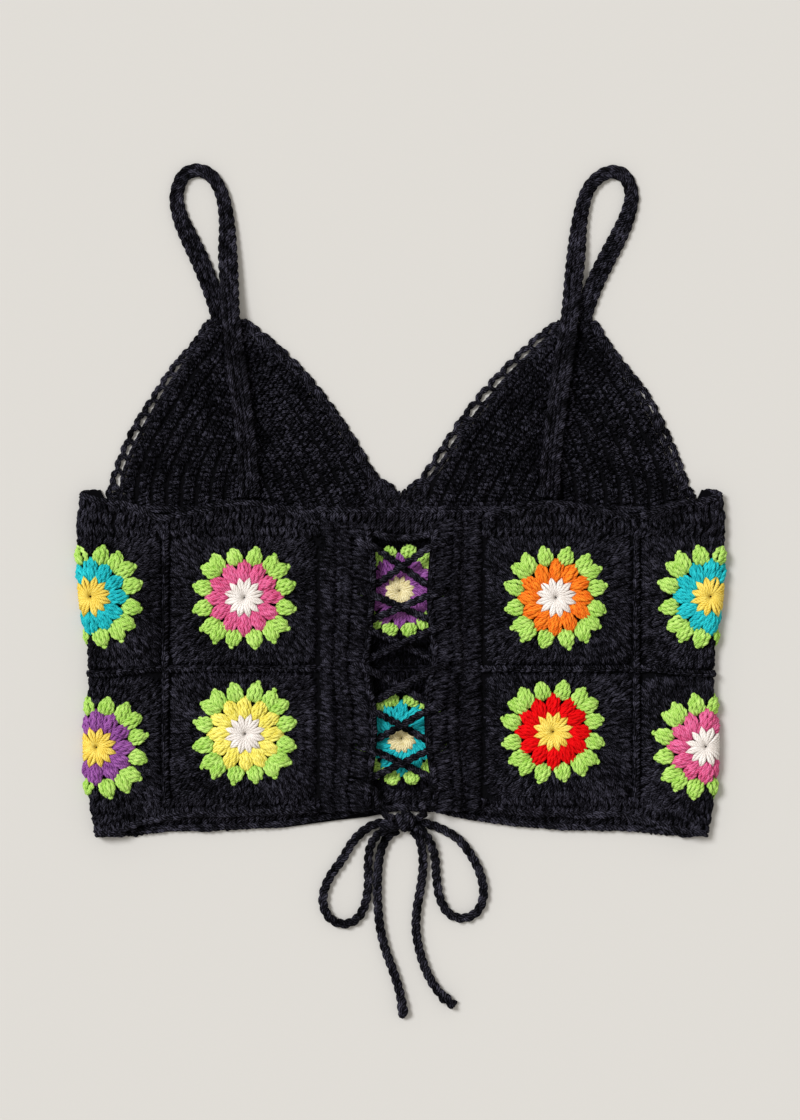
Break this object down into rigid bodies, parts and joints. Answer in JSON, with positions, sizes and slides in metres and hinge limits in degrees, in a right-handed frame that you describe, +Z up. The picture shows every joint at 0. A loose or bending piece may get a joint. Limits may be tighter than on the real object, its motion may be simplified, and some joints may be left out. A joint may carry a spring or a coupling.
{
  "type": "crochet camisole top with laced back",
  "caption": "Sleeveless crochet cotton top of flower squares with shaped cups, looped shoulder straps and a laced back tied in a bow, laid flat on its front.",
  "frame": {"origin": "centre of the garment's bounding box on the surface it lies on, measured without the free bow", "axes": "+Z up out of the surface, +Y towards the shoulder straps, +X to the right seen from above; the laced back faces +Z"},
  "size_m": [0.3998, 0.5306, 0.0156],
  "materials": {
    "black": "matt cotton yarn, crochet",
    "green": "matt cotton yarn, crochet",
    "pink": "matt cotton yarn, crochet",
    "teal": "matt cotton yarn, crochet",
    "purple": "matt cotton yarn, crochet",
    "orange": "matt cotton yarn, crochet",
    "red": "matt cotton yarn, crochet",
    "pale_yellow": "matt cotton yarn, crochet"
  },
  "bodies": {
    "root": {"bloom_back_left_lower": "pale_yellow", "bloom_back_left_upper": "pink", "bloom_back_right_lower": "red", "bloom_back_right_upper": "orange", "bloom_front_centre_lower": "teal", "bloom_front_centre_upper": "purple", "bloom_side_left_lower": "purple", "bloom_side_left_upper": "teal", "bloom_side_right_lower": "pink", "bloom_side_right_upper": "teal", "bow_knot": "black", "bow_loop_left": "black", "bow_loop_right": "black", "bow_tail_left": "black", "bow_tail_right": "black", "cup_left": "black", "cup_right": "black", "edging_armhole_left": "black", "edging_armhole_right": "black", "edging_neck_left": "black", "edging_neck_right": "black", "hem_front": "black", "hem_left": "black", "hem_right": "black", "lacing_band_left": "black", "lacing_band_right": "black", "lacing_from_left": "black", "lacing_from_right": "black", "leaves_back_left_lower": "green", "leaves_back_left_upper": "green", "leaves_back_right_lower": "green", "leaves_back_right_upper": "green", "leaves_front_centre_lower": "green", "leaves_front_centre_upper": "green", "leaves_side_left_lower": "green", "leaves_side_left_upper": "green", "leaves_side_right_lower": "green", "leaves_side_right_upper": "green", "square_back_left_lower": "black", "square_back_left_upper": "black", "square_back_right_lower": "black", "square_back_right_upper": "black", "square_front_centre_lower": "black", "square_front_centre_upper": "black", "square_front_left_lower": "black", "square_front_left_upper": "black", "square_front_right_lower": "black", "square_front_right_upper": "black", "square_side_left_lower": "black", "square_side_left_upper": "black", "square_side_right_lower": "black", "square_side_right_upper": "black", "strap_left": "black", "strap_right": "black", "top_band_front": "black", "top_band_left": "black", "top_band_right": "black"}
  },
  "joints": []
}
